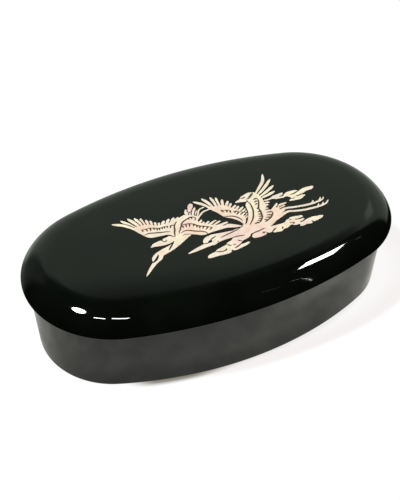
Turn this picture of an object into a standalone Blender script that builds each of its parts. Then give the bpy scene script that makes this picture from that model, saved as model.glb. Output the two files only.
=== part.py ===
"""Oval lacquered trinket box with a lift-off lid.

Units are metres and +Z is up. The origin is the centre of the underside, +X runs along the
length of the box. The box is two pieces, the base and the lid, and both are lofted through
closed rings. Every ring is an oval of four arcs, set inwards by some distance from a named
outline, so that a whole piece is described by one profile of inset against height.
"""
from math import asin, atan2, cos, pi, radians, sin

import bmesh
import bpy
from mathutils import Vector

MM = 0.001

# Outline of the lid, seen from above
LENGTH = 180.0 * MM
WIDTH = 100.0 * MM
LID_SIDE_RADIUS = 208.0 * MM

# Outline of the base at its mouth
OVERHANG = 2.8 * MM
BASE_SIDE_RADIUS = 172.0 * MM

# Base
RIM_HEIGHT = 36.5 * MM
SEAT_GAP = 0.3 * MM
WALL = 3.0 * MM
FLOOR = 3.0 * MM
TAPER = 1.1 * MM
FOOT_ROUND = 2.0 * MM
FOOT_BAND = 6.0 * MM
FOOT_RECESS = 0.8 * MM
RECESS_ROUND = 0.4 * MM
MOUTH_ROUND = 0.4 * MM
FLOOR_FILLET = 4.0 * MM

# Lid
LID_WALL = 3.0 * MM
EDGE_ROUND = 0.4 * MM
EDGE_SLOPE = radians(60.0)
SHOULDER = 14.5 * MM
DOME = 0.8 * MM
CROWN_END_RADIUS = 5.0 * MM
LIP_CLEARANCE = 0.4 * MM
LIP_WALL = 2.0 * MM
LIP_DEPTH = 4.0 * MM
LIP_ROUND = 0.5 * MM

# Lacquers: linear colour and roughness
BASE_BLACK = (0.010, 0.010, 0.010)
BASE_ROUGHNESS = 0.16
LID_BLACK = (0.006, 0.006, 0.006)
LID_ROUGHNESS = 0.06

# Facets along an end arc and along a side arc of every ring
END_STEPS = 24
SIDE_STEPS = 12

# Facets of the profile's rounded stretches
EDGE_STEPS = 3
RIM_STEPS = 4
FILLET_STEPS = 4
SHOULDER_STEPS = 10
DOME_STEPS = 4
CEILING_STEPS = 5

SHARP_ANGLE = radians(32.0)
QUARTER = pi / 2


class Oval:
    """A closed outline of two end arcs and two side arcs that meet without a corner."""

    def __init__(self, length, width, side_radius):
        half_length = length / 2
        half_width = width / 2
        squares = half_length ** 2 + half_width ** 2
        self.side_radius = side_radius
        self.end_radius = (2 * side_radius * half_width - squares) / (2 * (side_radius - half_length))
        self.end_centre = half_length - self.end_radius
        self.side_centre = side_radius - half_width
        self.turn = atan2(self.side_centre, self.end_centre)

    def stations(self):
        """Yield each ring point's arc centre, arc radius and outward direction."""
        turn = self.turn
        arcs = (
            ((self.end_centre, 0.0), self.end_radius, -turn, turn, END_STEPS),
            ((0.0, -self.side_centre), self.side_radius, turn, pi - turn, SIDE_STEPS),
            ((-self.end_centre, 0.0), self.end_radius, pi - turn, pi + turn, END_STEPS),
            ((0.0, self.side_centre), self.side_radius, pi + turn, 2 * pi - turn, SIDE_STEPS),
        )
        for centre, radius, first, last, steps in arcs:
            for step in range(steps):
                angle = first + (last - first) * step / steps
                yield centre, radius, (cos(angle), sin(angle))

    def ring(self, inset, height):
        """Points of the outline moved inwards by inset, at one height."""
        return [
            Vector((centre[0] + (radius - inset) * way[0], centre[1] + (radius - inset) * way[1], height))
            for centre, radius, way in self.stations()
        ]


LID_OVAL = Oval(LENGTH, WIDTH, LID_SIDE_RADIUS)
BASE_OVAL = Oval(LENGTH - 2 * OVERHANG, WIDTH - 2 * OVERHANG, BASE_SIDE_RADIUS)

MOUTH_HEIGHT = RIM_HEIGHT - SEAT_GAP
DRAFT = TAPER / MOUTH_HEIGHT


def arc(centre_inset, centre_height, radius, first, last, steps):
    """Points of an arc in the profile; angle 0 points outwards and a quarter turn points up."""
    points = []
    for step in range(steps + 1):
        angle = first + (last - first) * step / steps
        points.append((centre_inset - radius * cos(angle), centre_height + radius * sin(angle)))
    return points


def base_profile():
    """Inset and height pairs of the base, from under its middle, round the wall, to its floor."""
    foot_inset = TAPER + FOOT_ROUND
    recess_inset = foot_inset + FOOT_BAND
    floor_height = FOOT_RECESS + FLOOR
    floor_inset = TAPER * (1 - floor_height / MOUTH_HEIGHT) + WALL
    outer_mouth = MOUTH_ROUND
    inner_mouth = WALL - MOUTH_ROUND
    return (
        arc(recess_inset + RECESS_ROUND, FOOT_RECESS - RECESS_ROUND, RECESS_ROUND, QUARTER, 0.0, EDGE_STEPS)
        + [(recess_inset, 0.0)]
        + arc(foot_inset, FOOT_ROUND, FOOT_ROUND, -QUARTER, 0.0, FILLET_STEPS)
        + arc(outer_mouth, MOUTH_HEIGHT - MOUTH_ROUND, MOUTH_ROUND, 0.0, QUARTER, EDGE_STEPS)
        + arc(inner_mouth, MOUTH_HEIGHT - MOUTH_ROUND, MOUTH_ROUND, QUARTER, pi, EDGE_STEPS)
        + arc(floor_inset + FLOOR_FILLET, floor_height + FLOOR_FILLET, FLOOR_FILLET, 0.0, -QUARTER,
              FILLET_STEPS)
    )


def dome_height(inset, slope, crown_inset):
    """Height of the crown above the shoulder, levelling out from slope at the shoulder."""
    run = inset - SHOULDER
    return slope * run - slope * run ** 2 / (2 * (crown_inset - SHOULDER))


def lid_outside(crown_inset, slope, radius, centre_inset, centre_height):
    """Lid-outline profile, from the crown's flat middle out and down to the rim's underside."""
    top = centre_height + radius * cos(slope)
    points = []
    for step in range(DOME_STEPS):
        inset = crown_inset + (SHOULDER - crown_inset) * step / DOME_STEPS
        points.append((inset, top + dome_height(inset, slope, crown_inset)))
    points += arc(centre_inset, centre_height, radius, QUARTER - slope, QUARTER - EDGE_SLOPE,
                  SHOULDER_STEPS)
    rim = arc(EDGE_ROUND, RIM_HEIGHT + EDGE_ROUND, EDGE_ROUND, QUARTER - EDGE_SLOPE, -QUARTER, RIM_STEPS)
    points += rim[1:]  # the rim's first point is the shoulder's last
    return points


def lid_inside(crown_inset, slope, radius, centre_inset, centre_height):
    """Base-outline profile, from the lip's root down, round its foot and up to the ceiling."""
    lip_root = WALL + LIP_CLEARANCE
    lip_bottom = RIM_HEIGHT - LIP_DEPTH
    lip_foot = lip_root + DRAFT * LIP_DEPTH
    lip_inner = lip_foot + LIP_WALL
    inner_radius = radius - LID_WALL
    inner_centre = centre_inset - OVERHANG
    spring = asin((inner_centre - lip_inner - LIP_ROUND) / inner_radius)
    top = centre_height + inner_radius * cos(slope)
    points = [(lip_root, RIM_HEIGHT)]
    points += arc(lip_foot + LIP_ROUND, lip_bottom + LIP_ROUND, LIP_ROUND, 0.0, -QUARTER, EDGE_STEPS)
    points += arc(lip_inner - LIP_ROUND, lip_bottom + LIP_ROUND, LIP_ROUND, -QUARTER, -pi, EDGE_STEPS)
    points += arc(inner_centre, centre_height, inner_radius, QUARTER - spring, QUARTER - slope,
                  CEILING_STEPS)
    ceiling_end = BASE_OVAL.end_radius - CROWN_END_RADIUS
    shoulder_end = points[-1][0]
    for step in range(1, DOME_STEPS + 1):
        inset = shoulder_end + (ceiling_end - shoulder_end) * step / DOME_STEPS
        points.append((inset, top + dome_height(inset + OVERHANG, slope, crown_inset)))
    return points


def lid_profiles():
    """The outside and inside profiles of the lid, which share one rounded shoulder."""
    crown_inset = LID_OVAL.end_radius - CROWN_END_RADIUS
    slope = 2 * DOME / (crown_inset - SHOULDER)
    edge_inset = EDGE_ROUND * (1 - sin(EDGE_SLOPE))
    edge_height = RIM_HEIGHT + EDGE_ROUND * (1 + cos(EDGE_SLOPE))
    radius = (SHOULDER - edge_inset) / (sin(EDGE_SLOPE) - sin(slope))
    centre_inset = edge_inset + radius * sin(EDGE_SLOPE)
    centre_height = edge_height - radius * cos(EDGE_SLOPE)
    shape = (crown_inset, slope, radius, centre_inset, centre_height)
    return lid_outside(*shape), lid_inside(*shape)


def loft(name, rings, material):
    """One closed solid skinned over its rings, with a flat face across the first and the last."""
    mesh = bmesh.new()
    loops = [[mesh.verts.new(point) for point in ring] for ring in rings]
    for lower, upper in zip(loops, loops[1:]):
        count = len(lower)
        for index in range(count):
            after = (index + 1) % count
            mesh.faces.new((lower[index], lower[after], upper[after], upper[index]))
    mesh.faces.new(reversed(loops[0]))
    mesh.faces.new(loops[-1])
    bmesh.ops.recalc_face_normals(mesh, faces=mesh.faces)
    data = bpy.data.meshes.new(name)
    mesh.to_mesh(data)
    mesh.free()
    data.shade_smooth()
    data.set_sharp_from_angle(angle=SHARP_ANGLE)
    data.materials.append(material)
    piece = bpy.data.objects.new(name, data)
    bpy.context.collection.objects.link(piece)
    return piece


def lacquer(name, colour, roughness):
    """Opaque glossy lacquer."""
    material = bpy.data.materials.new(name)
    material.use_nodes = True
    shader = material.node_tree.nodes["Principled BSDF"]
    shader.inputs["Base Color"].default_value = (*colour, 1.0)
    shader.inputs["Roughness"].default_value = roughness
    shader.inputs["Metallic"].default_value = 0.0
    return material


def make_base():
    rings = [BASE_OVAL.ring(inset, height) for inset, height in base_profile()]
    return loft("base", rings, lacquer("base_lacquer", BASE_BLACK, BASE_ROUGHNESS))


def make_lid():
    outside, inside = lid_profiles()
    rings = [LID_OVAL.ring(inset, height) for inset, height in outside]
    rings += [BASE_OVAL.ring(inset, height) for inset, height in inside]
    return loft("lid", rings, lacquer("lid_lacquer", LID_BLACK, LID_ROUGHNESS))


def main():
    for thing in list(bpy.data.objects):
        bpy.data.objects.remove(thing, do_unlink=True)
    make_base()
    make_lid()


main()
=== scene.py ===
"""Looks of the oval black lacquer box: polished lid and base, and a pearl inlay of cranes and clouds.

Lengths are metres, except in the picture on the lid, whose points are millimetres on the plan
of the lid: x along its length and y away from the camera's side, one point after another.
"""

from functools import partialmethod
from math import asin, atan2, cos, hypot, pi, radians, sin, tan

import bpy
import numpy as np
from mathutils import Matrix, Vector
from mathutils.geometry import delaunay_2d_cdt


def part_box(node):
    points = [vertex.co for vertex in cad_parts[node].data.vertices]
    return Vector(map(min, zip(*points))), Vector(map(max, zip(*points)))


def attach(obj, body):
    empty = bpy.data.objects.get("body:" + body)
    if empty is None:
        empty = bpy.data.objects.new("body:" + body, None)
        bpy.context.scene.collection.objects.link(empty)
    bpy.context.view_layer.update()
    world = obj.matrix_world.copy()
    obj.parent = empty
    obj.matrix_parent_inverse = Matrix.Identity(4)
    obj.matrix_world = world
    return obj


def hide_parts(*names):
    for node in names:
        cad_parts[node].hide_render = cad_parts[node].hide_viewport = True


MM = 0.001
QUARTER = pi / 2

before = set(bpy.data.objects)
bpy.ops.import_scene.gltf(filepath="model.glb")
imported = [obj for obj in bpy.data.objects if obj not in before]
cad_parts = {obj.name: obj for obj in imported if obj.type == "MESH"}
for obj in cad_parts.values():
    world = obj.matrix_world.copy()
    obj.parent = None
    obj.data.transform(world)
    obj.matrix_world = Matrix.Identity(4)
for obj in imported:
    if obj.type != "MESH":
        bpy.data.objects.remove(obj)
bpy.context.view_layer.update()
lid_low, lid_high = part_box("lid")
base_low, base_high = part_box("base")

# Outlines of the lid and of the base at its mouth, as the solids have them
LENGTH = lid_high.x - lid_low.x
WIDTH = lid_high.y - lid_low.y
LID_SIDE_RADIUS = 208.0 * MM
BASE_LENGTH = base_high.x - base_low.x
BASE_WIDTH = base_high.y - base_low.y
BASE_SIDE_RADIUS = 172.0 * MM
OVERHANG = (LENGTH - BASE_LENGTH) / 2

# Profile of the base
MOUTH_HEIGHT = base_high.z
WALL = 3.0 * MM
FLOOR = 3.0 * MM
TAPER = 1.1 * MM
FOOT_ROUND = 2.0 * MM
FOOT_BAND = 6.0 * MM
FOOT_RECESS = 0.8 * MM
RECESS_ROUND = 0.4 * MM
MOUTH_ROUND = 0.4 * MM
FLOOR_FILLET = 4.0 * MM

# Profile of the lid
RIM_HEIGHT = 36.5 * MM
LID_WALL = 3.0 * MM
EDGE_ROUND = 0.4 * MM
EDGE_SLOPE = radians(60.0)
SHOULDER = 14.5 * MM
DOME = 0.8 * MM
CROWN_END_RADIUS = 5.0 * MM
LIP_CLEARANCE = 0.4 * MM
LIP_WALL = 2.0 * MM
LIP_DEPTH = RIM_HEIGHT - lid_low.z
LIP_ROUND = 0.5 * MM
DRAFT = TAPER / MOUTH_HEIGHT

# Fineness of the polished surfaces
END_STEPS = 96
SIDE_STEPS = 48
ROUND_STEPS = 6
SHOULDER_STEPS = 30
DOME_STEPS = 14
SHARP_ANGLE = radians(40.0)


class Oval:
    """A closed outline of two end arcs and two side arcs that meet without a corner."""

    def __init__(self, length, width, side_radius):
        half_length = length / 2
        half_width = width / 2
        squares = half_length ** 2 + half_width ** 2
        self.side_radius = side_radius
        self.end_radius = (2 * side_radius * half_width - squares) / (2 * (side_radius - half_length))
        self.end_centre = half_length - self.end_radius
        self.side_centre = side_radius - half_width
        self.turn = atan2(self.side_centre, self.end_centre)

    def ring(self, inset, height):
        """Points of the outline moved inwards by inset, at one height."""
        turn = self.turn
        arcs = (
            (self.end_centre, 0.0, self.end_radius, -turn, turn, END_STEPS),
            (0.0, -self.side_centre, self.side_radius, turn, pi - turn, SIDE_STEPS),
            (-self.end_centre, 0.0, self.end_radius, pi - turn, pi + turn, END_STEPS),
            (0.0, self.side_centre, self.side_radius, pi + turn, 2 * pi - turn, SIDE_STEPS),
        )
        points = []
        for x, y, radius, first, last, steps in arcs:
            reach = radius - inset
            for step in range(steps):
                angle = first + (last - first) * step / steps
                points.append((x + reach * cos(angle), y + reach * sin(angle), height))
        return points

    def inset_at(self, x, y):
        """How far inside the outline a point of the plan lies."""
        x, y = abs(x), abs(y)
        if atan2(y + self.side_centre, x) > self.turn:
            return self.side_radius - hypot(x, y + self.side_centre)
        return self.end_radius - hypot(x - self.end_centre, y)


LID_OVAL = Oval(LENGTH, WIDTH, LID_SIDE_RADIUS)
BASE_OVAL = Oval(BASE_LENGTH, BASE_WIDTH, BASE_SIDE_RADIUS)

CROWN_INSET = LID_OVAL.end_radius - CROWN_END_RADIUS
CROWN_SLOPE = 2 * DOME / (CROWN_INSET - SHOULDER)
EDGE_INSET = EDGE_ROUND * (1 - sin(EDGE_SLOPE))
SHOULDER_RADIUS = (SHOULDER - EDGE_INSET) / (sin(EDGE_SLOPE) - sin(CROWN_SLOPE))
SHOULDER_INSET = EDGE_INSET + SHOULDER_RADIUS * sin(EDGE_SLOPE)
SHOULDER_CENTRE = RIM_HEIGHT + EDGE_ROUND * (1 + cos(EDGE_SLOPE)) - SHOULDER_RADIUS * cos(EDGE_SLOPE)


def arc(centre_inset, centre_height, radius, first, last, steps):
    """Points of an arc in the profile; angle 0 points outwards and a quarter turn points up."""
    points = []
    for step in range(steps + 1):
        angle = first + (last - first) * step / steps
        points.append((centre_inset - radius * cos(angle), centre_height + radius * sin(angle)))
    return points


def crown_height(inset, radius=SHOULDER_RADIUS):
    """Height of the lid's gently domed top, or of its ceiling with the ceiling's smaller radius."""
    run = min(inset, CROWN_INSET) - SHOULDER
    rise = CROWN_SLOPE * run - CROWN_SLOPE * run ** 2 / (2 * (CROWN_INSET - SHOULDER))
    return SHOULDER_CENTRE + radius * cos(CROWN_SLOPE) + rise


def lid_rings():
    """Rings of the lid, from the middle of its top out, round the rim and the lip, to the ceiling."""
    outside = []
    for step in range(DOME_STEPS):
        inset = CROWN_INSET + (SHOULDER - CROWN_INSET) * step / DOME_STEPS
        outside.append((inset, crown_height(inset)))
    outside += arc(SHOULDER_INSET, SHOULDER_CENTRE, SHOULDER_RADIUS, QUARTER - CROWN_SLOPE,
                   QUARTER - EDGE_SLOPE, SHOULDER_STEPS)
    outside += arc(EDGE_ROUND, RIM_HEIGHT + EDGE_ROUND, EDGE_ROUND, QUARTER - EDGE_SLOPE, -QUARTER,
                   ROUND_STEPS)[1:]

    lip_root = WALL + LIP_CLEARANCE
    lip_foot = lip_root + DRAFT * LIP_DEPTH
    lip_inner = lip_foot + LIP_WALL
    lip_centre = RIM_HEIGHT - LIP_DEPTH + LIP_ROUND
    ceiling_radius = SHOULDER_RADIUS - LID_WALL
    ceiling_inset = SHOULDER_INSET - OVERHANG
    spring = asin((ceiling_inset - lip_inner - LIP_ROUND) / ceiling_radius)
    inside = [(lip_root, RIM_HEIGHT)]
    inside += arc(lip_foot + LIP_ROUND, lip_centre, LIP_ROUND, 0.0, -QUARTER, ROUND_STEPS)
    inside += arc(lip_inner - LIP_ROUND, lip_centre, LIP_ROUND, -QUARTER, -pi, ROUND_STEPS)
    inside += arc(ceiling_inset, SHOULDER_CENTRE, ceiling_radius, QUARTER - spring,
                  QUARTER - CROWN_SLOPE, SHOULDER_STEPS)
    ceiling_start = inside[-1][0]
    ceiling_end = BASE_OVAL.end_radius - CROWN_END_RADIUS
    for step in range(1, DOME_STEPS + 1):
        inset = ceiling_start + (ceiling_end - ceiling_start) * step / DOME_STEPS
        inside.append((inset, crown_height(inset + OVERHANG, ceiling_radius)))
    return [LID_OVAL.ring(*pair) for pair in outside] + [BASE_OVAL.ring(*pair) for pair in inside]


def base_rings():
    """Rings of the base, from its floor, over the mouth and down the wall, to under its middle."""
    foot_inset = TAPER + FOOT_ROUND
    recess_inset = foot_inset + FOOT_BAND
    floor_height = FOOT_RECESS + FLOOR
    floor_inset = TAPER * (1 - floor_height / MOUTH_HEIGHT) + WALL
    mouth_centre = MOUTH_HEIGHT - MOUTH_ROUND
    profile = arc(recess_inset + RECESS_ROUND, FOOT_RECESS - RECESS_ROUND, RECESS_ROUND, QUARTER, 0.0,
                  ROUND_STEPS)
    profile.append((recess_inset, 0.0))
    profile += arc(foot_inset, FOOT_ROUND, FOOT_ROUND, -QUARTER, 0.0, 2 * ROUND_STEPS)
    profile += arc(MOUTH_ROUND, mouth_centre, MOUTH_ROUND, 0.0, QUARTER, ROUND_STEPS)
    profile += arc(WALL - MOUTH_ROUND, mouth_centre, MOUTH_ROUND, QUARTER, pi, ROUND_STEPS)
    profile += arc(floor_inset + FLOOR_FILLET, floor_height + FLOOR_FILLET, FLOOR_FILLET, 0.0, -QUARTER,
                   2 * ROUND_STEPS)
    return [BASE_OVAL.ring(*pair) for pair in reversed(profile)]


def put_in_scene(name, data):
    """A new object in the scene that shows a mesh, a lamp or a camera."""
    thing = bpy.data.objects.new(name, data)
    bpy.context.scene.collection.objects.link(thing)
    return thing


def add_piece(name, points, faces, material):
    """A smooth-shaded mesh piece that rides on the box."""
    data = bpy.data.meshes.new(name)
    data.from_pydata(points, [], faces)
    data.shade_smooth()
    data.set_sharp_from_angle(angle=SHARP_ANGLE)
    data.materials.append(material)
    piece = put_in_scene(name, data)
    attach(piece, "root")
    return piece


def loft(name, rings, material):
    """One closed solid skinned over its rings, with a flat face across the first and the last."""
    count = len(rings[0])
    points = [point for ring in rings for point in ring]
    faces = [tuple(range(count))]
    for level in range(len(rings) - 1):
        for index in range(count):
            after = (index + 1) % count
            low = level * count
            faces.append((low + index, low + count + index, low + count + after, low + after))
    top = (len(rings) - 1) * count
    faces.append(tuple(range(top + count - 1, top - 1, -1)))
    return add_piece(name, points, faces, material)


# Materials

WHITE = (1.0, 1.0, 1.0)


class Nodes:
    """Short ways to add shader nodes to one tree."""

    def __init__(self, tree):
        self.tree = tree

    def fill(self, node, inputs):
        """Link sockets to a node's inputs, or set plain values on them."""
        for key, value in inputs.items():
            if isinstance(value, bpy.types.NodeSocket):
                self.tree.links.new(value, node.inputs[key])
            else:
                node.inputs[key].default_value = value

    def add(self, kind, inputs=None, **settings):
        node = self.tree.nodes.new(kind)
        for key, value in settings.items():
            setattr(node, key, value)
        self.fill(node, inputs or {})
        return node

    def math(self, operation, first, second=0.0):
        return self.add("ShaderNodeMath", {0: first, 1: second}, operation=operation).outputs[0]

    plus = partialmethod(math, "ADD")
    minus = partialmethod(math, "SUBTRACT")
    times = partialmethod(math, "MULTIPLY")
    larger = partialmethod(math, "MAXIMUM")

    def noise(self, place, scale, detail=2.0):
        inputs = {"Vector": place, "Scale": scale, "Detail": detail}
        return self.add("ShaderNodeTexNoise", inputs).outputs["Fac"]

    def ramp(self, value, low, high, to_low=0.0, to_high=1.0):
        """Smooth step of value from low to high, giving to_low to to_high."""
        inputs = {"Value": value, "From Min": low, "From Max": high, "To Min": to_low, "To Max": to_high}
        return self.add("ShaderNodeMapRange", inputs, interpolation_type="SMOOTHSTEP").outputs[0]

    def fall(self, value, low, high):
        return self.ramp(value, low, high, 1.0, 0.0)

    def mix(self, share, first, second):
        """Mix of two numbers."""
        return self.add("ShaderNodeMix", {0: share, 2: first, 3: second}, data_type="FLOAT").outputs[0]

    def blend(self, share, *colours):
        """Mix of two colours."""
        first, second = (
            colour if isinstance(colour, bpy.types.NodeSocket) else (*colour, 1.0) for colour in colours
        )
        return self.add("ShaderNodeMix", {0: share, 6: first, 7: second}, data_type="RGBA").outputs[2]

    def ripples(self, place, scale, depth):
        inputs = {"Height": self.noise(place, scale, 1.0), "Distance": depth}
        return self.add("ShaderNodeBump", inputs).outputs["Normal"]

    def seen(self):
        """1 where the camera looks straight at the backdrop or the floor, 0 where something mirrors it."""
        return self.add("ShaderNodeLightPath").outputs["Is Camera Ray"]


def new_material(name):
    """A material, its node helper, the place on the object, and its shader."""
    material = bpy.data.materials.new(name)
    material.use_nodes = True
    nodes = Nodes(material.node_tree)
    place = nodes.add("ShaderNodeTexCoord").outputs["Object"]
    return material, nodes, place, material.node_tree.nodes["Principled BSDF"]


# Colours of the lacquers, deep and where they are worn
BLACK = ((0.0018, 0.0026, 0.0016), (0.003, 0.004, 0.0026))
BROWN = ((0.05, 0.018, 0.006), (0.085, 0.036, 0.014))
LACQUER_INDEX = 1.5

# Least and greatest roughness of the lacquers and of the shell, and the depth of their ripples
LID_ROUGHNESS = (0.02, 0.045)
BASE_ROUGHNESS = (0.1, 0.16)
LINE_ROUGHNESS = (0.18, 0.3)
PEARL_ROUGHNESS = (0.28, 0.42)
POLISHED_RIPPLE = 0.002 * MM
SATIN_RIPPLE = 0.004 * MM

# Scales of the noises, and the parts of a noise's range that are spread out
CLOUDING_SCALE = 45.0
SMEAR_SCALE = 900.0
SMEAR_SHARE = 0.2
RIPPLE_SCALE = 110.0
WORN_RANGE = (0.35, 0.7)
BROAD_RANGE = (0.3, 0.7)


def lacquer(name, colours, roughness, ripple):
    """Polished lacquer: a little uneven in gloss, with the faint ripple of brushed coats."""
    material, nodes, place, shader = new_material(name)
    clouding = nodes.noise(place, CLOUDING_SCALE, 3.0)
    smears = nodes.noise(place, SMEAR_SCALE)
    gloss = nodes.plus(nodes.times(clouding, 1 - SMEAR_SHARE), nodes.times(smears, SMEAR_SHARE))
    nodes.fill(shader, {
        "IOR": LACQUER_INDEX,
        "Base Color": nodes.blend(nodes.ramp(clouding, *WORN_RANGE), *colours),
        "Roughness": nodes.ramp(gloss, *BROAD_RANGE, *roughness),
        "Normal": nodes.ripples(place, RIPPLE_SCALE, ripple),
    })
    return material


PEARL_CREAM = (0.84, 0.725, 0.573)
PEARL_COAT = 0.5
PEARL_COAT_ROUGHNESS = 0.06
PEARL_GRAIN = (0.35, 0.65, 0.93, 1.05)
PEARL_WANDER_SCALE = 160.0
PEARL_GRAIN_SCALE = 420.0
PEARL_SHEEN_SCALE = 700.0
PEARL_RIPPLE_SCALE = 1500.0

# Softly bounded parts of the shell: a colour, and x, y and radius of its spots in millimetres
PEARL_PARTS = {
    "pale": ((0.88, 0.785, 0.56), (
        (20, 0, 7), (28, 8, 7), (-38, 14, 9), (33, -3, 5), (44, 1, 8), (-14, 4, 4), (24, -18, 5),
        (-19, -4, 5), (-2, -18.5, 3), (43, -18, 4),
    )),
    "peach": ((0.855, 0.64, 0.487), (
        (-11, -2, 9), (7, 5, 8), (14, -12, 9), (26, -10, 8), (30, -6, 7), (-31, 8, 6), (-29.5, -10, 3),
        (8, -16.5, 3), (33, -17, 3),
    )),
    "pink": ((0.83, 0.605, 0.53), (
        (-6, 13, 5), (16, -17, 7), (4, -11, 6), (-28.5, -5, 2), (-12.5, 2.5, 3), (3, -17.5, 3),
        (37, -19, 2),
    )),
}

# Where a spot's edge begins and ends, as shares of its radius
SPOT_EDGE = (0.6, 1.7)


def pearl(name):
    """Cream shell with softly bounded warm, pink and pale parts, under clear lacquer."""
    material, nodes, place, shader = new_material(name)
    wander = nodes.noise(place, PEARL_WANDER_SCALE)
    flat = nodes.add("ShaderNodeVectorMath", {0: place, 1: (1.0, 1.0, 0.0)}, operation="MULTIPLY")
    colour = PEARL_CREAM
    for tint, spots in PEARL_PARTS.values():
        share = 0.0
        for x, y, radius in spots:
            inputs = {0: flat.outputs[0], 1: (x * MM, y * MM, 0.0)}
            away = nodes.add("ShaderNodeVectorMath", inputs, operation="DISTANCE").outputs["Value"]
            uneven = nodes.plus(away, nodes.times(wander, radius * MM))
            inner, outer = (part * radius * MM for part in SPOT_EDGE)
            share = nodes.larger(share, nodes.fall(uneven, inner, outer))
        colour = nodes.blend(share, colour, tint)
    grain = nodes.ramp(nodes.noise(place, PEARL_GRAIN_SCALE), *PEARL_GRAIN)
    grained = nodes.add("ShaderNodeVectorMath", {0: colour, "Scale": grain}, operation="SCALE")
    nodes.fill(shader, {
        "Base Color": grained.outputs[0],
        "Roughness": nodes.ramp(nodes.noise(place, PEARL_SHEEN_SCALE), *BROAD_RANGE, *PEARL_ROUGHNESS),
        "Normal": nodes.ripples(place, PEARL_RIPPLE_SCALE, SATIN_RIPPLE),
        "Coat Weight": PEARL_COAT,
        "Coat Roughness": PEARL_COAT_ROUGHNESS,
    })
    return material


# The picture on the lid, in millimetres

DRAWN = "drawn_lines"

# Dark rims round limbs and feathers, what a cloud is trimmed by, and the length of a curve's steps
GAP = 0.3
FEATHER_GAP = 0.5
CLOUD_TRIM = 0.12
CURVE_STEP = 0.35

# How far a feather's root is tucked under, as a share of its first stretch
ROOT_TUCK = 0.25

# Limits for moving outlines and for filling them with triangles
SAME_POINT = 1e-6
SHARPEST_CORNER = 0.3
MERGE_DISTANCE = 1e-4
WHOLE_HULL = 0


def as_points(path):
    """The points of a path or an outline, which are given as x, y, x, y and so on."""
    return list(np.reshape(path, (-1, 2)).astype(float))


def smooth(path, closed=False):
    """Points along a Catmull-Rom curve through the given ones, about CURVE_STEP apart."""
    given = as_points(path)
    if closed:
        before, after = [given[-1]], given[:2]
    else:
        before, after = [2 * given[0] - given[1]], [2 * given[-1] - given[-2]]
    knots = before + given + after
    result = []
    for a, b, c, d in zip(knots, knots[1:], knots[2:], knots[3:]):
        count = max(1, round(float(np.linalg.norm(c - b)) / CURVE_STEP))
        for index in range(count):
            t = index / count
            result.append(0.5 * (2 * b + (c - a) * t + (2 * a - 5 * b + 4 * c - d) * t ** 2
                                 + (3 * b - a - 3 * c + d) * t ** 3))
    if not closed:
        result.append(given[-1])
    return np.array(result)


def sideways(line):
    """Unit vectors to the left of a line, at its points."""
    ways = np.gradient(line, axis=0)
    ways /= np.linalg.norm(ways, axis=1)[:, None]
    return np.column_stack((-ways[:, 1], ways[:, 0]))


def leaf(path, width, belly=0.6, start=0.0, end=0.5, steps=14):
    """Outline of a band along a curve, widest at its belly.

    start and end say how it closes: 0 cut square, 0.5 round, 1 or more pointed.
    """
    line = smooth(path)
    lengths = np.concatenate(([0.0], np.cumsum(np.linalg.norm(np.diff(line, axis=0), axis=1))))
    shares = np.array([(1 - cos(pi * step / steps)) / 2 for step in range(steps + 1)])
    middle = np.column_stack([np.interp(shares * lengths[-1], lengths, values) for values in line.T])
    off = np.where(shares < belly, 1 - shares / belly, (shares - belly) / (1 - belly))
    half = width / 2 * np.maximum(0.0, 1 - off * off) ** np.where(shares < belly, start, end)
    offset = sideways(middle) * half[:, None]
    return np.concatenate((middle + offset, (middle - offset)[::-1]))


def grown(outline, rim):
    """The outline moved outwards by rim."""
    ahead = np.roll(outline, -1, axis=0) - outline
    outline = outline[np.linalg.norm(ahead, axis=1) > SAME_POINT]
    ahead = np.roll(outline, -1, axis=0) - outline
    ahead /= np.linalg.norm(ahead, axis=1)[:, None]
    behind = np.roll(ahead, 1, axis=0)
    after = np.roll(outline, -1, axis=0)
    turn = np.sign(np.sum(outline[:, 0] * after[:, 1] - outline[:, 1] * after[:, 0]))
    out = np.column_stack((ahead[:, 1] + behind[:, 1], -ahead[:, 0] - behind[:, 0])) * turn
    size = np.maximum(np.linalg.norm(out, axis=1), SHARPEST_CORNER)
    return outline + out / size[:, None] * rim


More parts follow.
